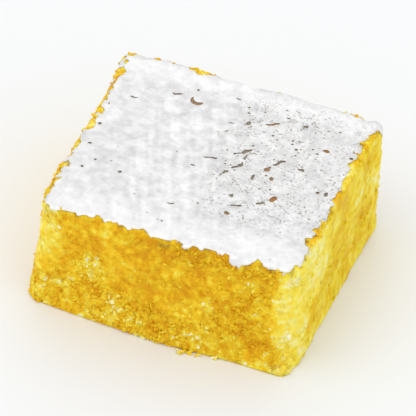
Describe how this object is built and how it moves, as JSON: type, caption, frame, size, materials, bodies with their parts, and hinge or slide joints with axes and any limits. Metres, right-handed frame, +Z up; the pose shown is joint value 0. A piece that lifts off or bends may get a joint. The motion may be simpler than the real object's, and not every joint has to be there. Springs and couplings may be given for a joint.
{
  "type": "coconut barfi",
  "caption": "Square of pressed coconut barfi, a dense crumbly yellow sweet with rough cut sides, its flat top covered in a torn sheet of edible silver leaf.",
  "frame": {"origin": "middle of the footprint, on the surface that the sweet rests on", "axes": "+Z up out of the silvered top; +X to the right along the front cut face; +Y from the front cut face towards the back"},
  "size_m": [0.0414, 0.0416, 0.018],
  "materials": {
    "coconut": "moist, coarse-grained pressed coconut, golden yellow, slightly translucent",
    "silver_leaf": "beaten edible silver, whitish satin, finely crinkled over the grain below"
  },
  "bodies": {
    "root": {"coconut_block": "coconut", "silver_leaf": "silver_leaf"}
  },
  "joints": []
}
